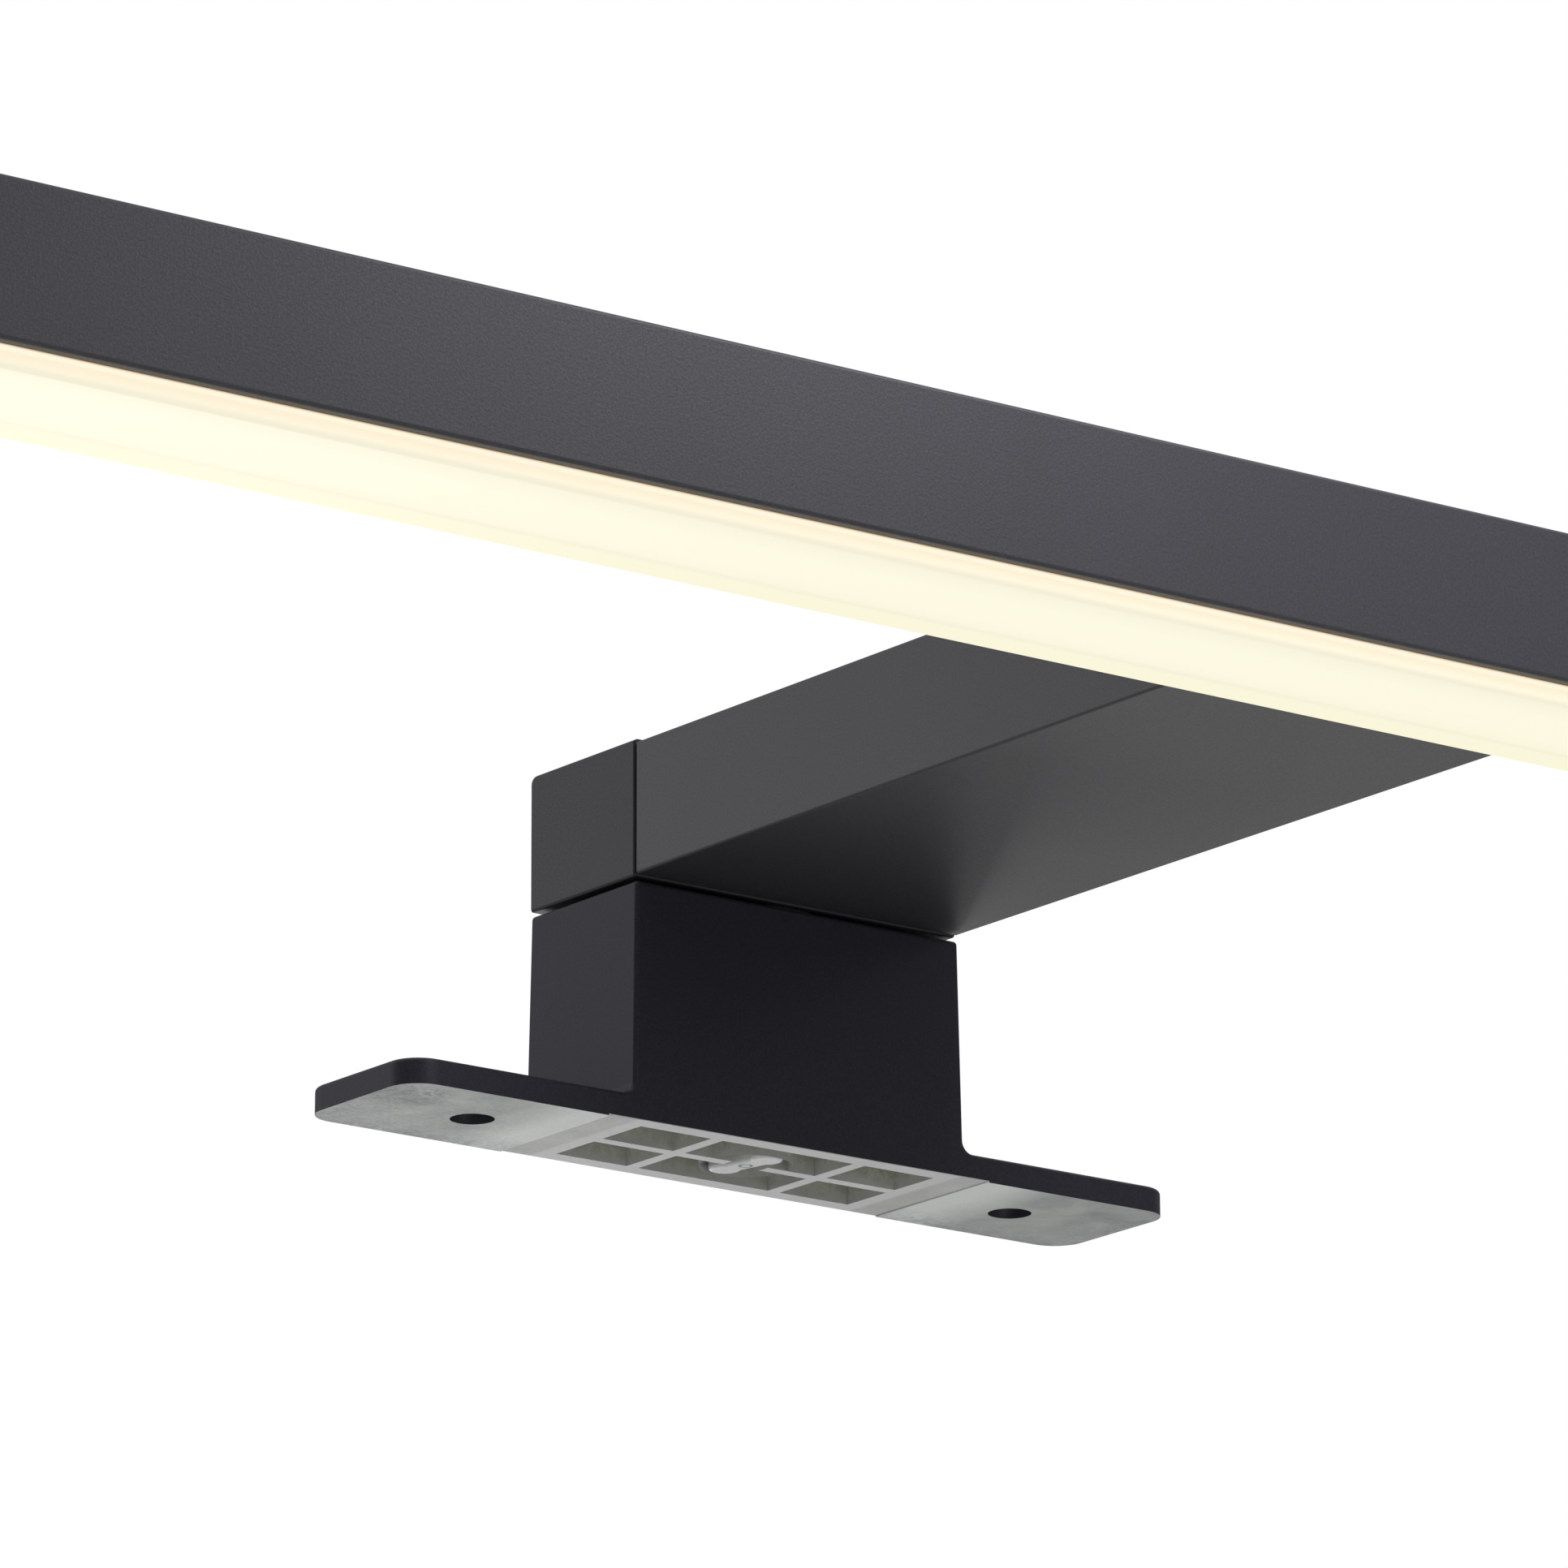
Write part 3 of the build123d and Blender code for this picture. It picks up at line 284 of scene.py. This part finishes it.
def moulded(name, colour, roughness=0.5, grain=0.3 * mm, depth=0.01 * mm, alpha=1.0):
    """Moulded plastic or rubber with a light spark-eroded grain."""
    finish = Finish(name)
    grains = finish.noise(grain, detail=3)
    clouds = finish.noise(20 * grain, detail=2)
    lighter = tuple(min(1.0, 1.15 * c + 0.003) for c in colour)
    tone = finish.ramp(finish.mix(0.5, grains, clouds), (0.35, colour), (0.65, lighter))
    return finish.set(
        Base_Color=tone,
        Roughness=finish.ramp(grains, (0.3, roughness + 0.06), (0.7, roughness - 0.06)),
        Normal=finish.bump(grains, depth),
        Alpha=alpha,
    ).material


def light_packages():
    """White packages with a glowing yellow window."""
    finish = Finish("light_packages")
    patches = finish.noise(0.8 * mm)
    finish.set(
        Base_Color=finish.ramp(patches, (0.4, (0.85, 0.72, 0.3)), (0.6, (0.9, 0.8, 0.4))),
        Roughness=0.4,
        Emission_Color=(1.0, 0.88, 0.66),
    )
    finish.shader.inputs["Emission Strength"].default_value = 2.0
    return finish.material


# --- Finish of each CAD node --------------------------------------------------------------

bar_finish = fine_coat(
    "bar_finish", (0.032, 0.032, 0.037), (0.052, 0.052, 0.060), 0.25 * mm, 0.5, 0.02 * mm, gleam=0.5
)
arm_finish = fine_coat(
    "arm_finish", (0.020, 0.020, 0.024), (0.029, 0.029, 0.034), 0.2 * mm, 0.45, 0.01 * mm, gleam=0.6
)
block_finish = fine_coat(
    "block_finish", (0.013, 0.013, 0.016), (0.019, 0.019, 0.023), 0.2 * mm, 0.45, 0.01 * mm, gleam=0.40
)
bright_screw = plated_steel("bright_screw")
black_screw = plated_steel("black_screw", (0.06, 0.06, 0.065), 0.4)
black_rubber = moulded("black_rubber", (0.012, 0.012, 0.012), 0.7)
grey_rubber = moulded("grey_rubber", (0.09, 0.09, 0.09), 0.7)
chip_epoxy = moulded("chip_epoxy", (0.02, 0.02, 0.02), 0.45)
ferrite = moulded("ferrite", (0.06, 0.06, 0.065), 0.6, grain=0.2 * mm, depth=0.03 * mm)
white_mask = moulded("white_mask", (0.82, 0.82, 0.79), 0.4, grain=0.5 * mm)

finishes = {
    "foot_casting": cast_foot(),
    "head_block": block_finish,
    "arm_tube": arm_finish,
    "bar_profile": bar_finish,
    "end_cap_left": bar_finish,
    "end_cap_right": bar_finish,
    "diffuser": opal_diffuser(),
    "friction_washer": moulded("black_nylon", (0.015, 0.015, 0.015), 0.45),
    "pivot_bolt": moulded("cast_bolt", (0.62, 0.63, 0.63), 0.45, grain=0.5 * mm, depth=0.02 * mm),
    "pivot_nut": bright_screw,
    "spring_washer": bright_screw,
    "tie_screws": bright_screw,
    "clamp_plate": bright_screw,
    "rear_cover": moulded("black_plastic", (0.018, 0.018, 0.02), 0.5, grain=0.4 * mm, depth=0.02 * mm),
    "rear_cover_screw": black_screw,
    "end_cap_screws": black_screw,
    "cord_grommet": black_rubber,
    "lead_grommet": black_rubber,
    "end_seal_left": grey_rubber,
    "end_seal_right": grey_rubber,
    "thermal_tape": moulded("thermal_tape", (0.7, 0.7, 0.68), 0.6),
    "led_board": white_mask,
    "leds": light_packages(),
    "driver_sleeve": moulded("clear_film", (0.8, 0.8, 0.77), 0.15, alpha=0.35),
    "driver_pad": moulded("grey_foam", (0.1, 0.1, 0.11), 0.9, grain=0.6 * mm, depth=0.1 * mm),
    "driver_board": moulded("green_board", (0.02, 0.12, 0.04), 0.35),
    "input_terminal": moulded("green_terminal", (0.02, 0.25, 0.06), 0.4),
    "terminal_screws": plated_steel("brass", (0.75, 0.56, 0.25)),
    "input_fuse": moulded("fuse_ceramic", (0.6, 0.52, 0.4), 0.35),
    "filter_capacitor": moulded("yellow_capacitor", (0.8, 0.5, 0.03), 0.35),
    "filter_choke": ferrite,
    "rectifier": chip_epoxy,
    "controller": chip_epoxy,
    "driver_capacitors": moulded("capacitor_sleeve", (0.02, 0.03, 0.09), 0.25),
    "transformer_core": ferrite,
    "transformer_winding": moulded("winding_tape", (0.8, 0.55, 0.06), 0.35, grain=1 * mm),
    "output_connector": moulded("white_connector", (0.78, 0.77, 0.72), 0.4),
    "output_leads": moulded("red_insulation", (0.5, 0.02, 0.015), 0.4),
}
for name, finish in finishes.items():
    for material_slot in nodes[name].material_slots:
        material_slot.material = finish

# --- Floor, light and camera --------------------------------------------------------------


def pale_floor(drop):
    """A wide pale floor, far enough down to leave room for a look from below."""
    bpy.ops.object.select_all(action="DESELECT")
    bpy.ops.mesh.primitive_plane_add(size=120, location=(0, 0, -drop))
    floor = bpy.context.object
    floor.name = "floor"
    finish = Finish("pale_floor")
    finish.set(
        Base_Color=finish.ramp(finish.noise(0.4), (0.3, 0.78), (0.7, 0.82)),
        Roughness=0.9,
    )
    floor.data.materials.append(finish.material)


def soft_box(name, position, target, size, power, colour=(1, 1, 1)):
    """A square area light that points at the target."""
    light = bpy.data.lights.new(name, "AREA")
    light.size = size
    light.energy = power
    light.color = colour
    box = bpy.data.objects.new(name, light)
    box.location = position
    box.rotation_euler = (Vector(target) - Vector(position)).to_track_quat("-Z", "Y").to_euler()
    box.visible_camera = False
    bpy.context.scene.collection.objects.link(box)


def studio_walls(front_level, back_level, ceiling_level):
    """White surroundings that light the object mostly from behind and above, and look white all round."""
    back = (0.35, 0.94, 0)
    wall_fade = (-0.25, 0.45)  # how far a direction points to the back
    ceiling_fade = (0.55, 0.8)  # how far it points up

    world = bpy.data.worlds.new("studio_walls")
    world.use_nodes = True
    tree = world.node_tree

    def faded(value, fade, levels):
        node = tree.nodes.new("ShaderNodeMapRange")
        node.inputs["From Min"].default_value, node.inputs["From Max"].default_value = fade
        node.inputs["To Min"].default_value, node.inputs["To Max"].default_value = levels
        tree.links.new(value, node.inputs["Value"])
        return node.outputs["Result"]

    direction = tree.nodes.new("ShaderNodeTexCoord").outputs["Generated"]
    towards_back = tree.nodes.new("ShaderNodeVectorMath")
    towards_back.operation = "DOT_PRODUCT"
    towards_back.inputs[1].default_value = back
    tree.links.new(direction, towards_back.inputs[0])
    height = tree.nodes.new("ShaderNodeSeparateXYZ")
    tree.links.new(direction, height.inputs["Vector"])
    level = tree.nodes.new("ShaderNodeMath")
    walls = faded(towards_back.outputs["Value"], wall_fade, (front_level, back_level))
    tree.links.new(walls, level.inputs[0])
    tree.links.new(faded(height.outputs["Z"], ceiling_fade, (0, ceiling_level)), level.inputs[1])
    lighting = tree.nodes["Background"]
    tree.links.new(level.outputs["Value"], lighting.inputs["Color"])
    seen = tree.nodes.new("ShaderNodeBackground")
    seen.inputs["Color"].default_value = (1, 1, 1, 1)
    choice = tree.nodes.new("ShaderNodeMixShader")
    rays = tree.nodes.new("ShaderNodeLightPath")
    tree.links.new(rays.outputs["Is Camera Ray"], choice.inputs["Fac"])
    tree.links.new(lighting.outputs["Background"], choice.inputs[1])
    tree.links.new(seen.outputs["Background"], choice.inputs[2])
    tree.links.new(choice.outputs["Shader"], tree.nodes["World Output"].inputs["Surface"])
    bpy.context.scene.world = world


def long_lens(aim, distance, turn, tilt, roll, lens):
    """A camera below the object that looks up at it from the front left."""
    camera = bpy.data.cameras.new("camera")
    camera.lens = lens
    camera.sensor_width = 36
    camera.clip_start = 0.05
    ahead = Vector((sin(turn) * cos(tilt), cos(turn) * cos(tilt), sin(tilt)))
    holder = bpy.data.objects.new("camera", camera)
    turned = ahead.to_track_quat("-Z", "Y").to_matrix() @ Matrix.Rotation(roll, 3, "Z")
    holder.matrix_world = Matrix.Translation(aim - distance * ahead) @ turned.to_4x4()
    bpy.context.scene.collection.objects.link(holder)
    bpy.context.scene.camera = holder


pale_floor(3.2)
studio_walls(front_level=0.10, back_level=0.34, ceiling_level=0.8)
cool_white = (0.97, 0.97, 1.06)
soft_box("bar_box", (0.005, -0.205, 0.125), (0.005, -0.105, 0.03), size=0.05, power=0.145, colour=cool_white)
soft_box("corner_box", (-0.10, -0.98, 0.03), (-0.03, -0.01, 0.01), size=0.3, power=0.6, colour=cool_white)
soft_box("rear_box", (0.45, 0.95, -0.28), (0, -0.05, 0.02), size=0.26, power=1.25)
soft_box("front_box", (0.62, -0.80, 0.27), (0, 0, 0.01), size=0.4, power=0.4, colour=cool_white)
soft_box("side_box", (-0.62, 0.80, 0.33), (0, -0.05, 0.02), size=0.7, power=1.65, colour=cool_white)
long_lens(
    aim=Vector((-25.72, -39.93, 22.30)) * mm,
    distance=0.95,
    turn=radians(37.02),
    tilt=radians(15.66),
    roll=radians(-0.12),
    lens=254.03,
)
bpy.context.scene.view_settings.view_transform = "Standard"
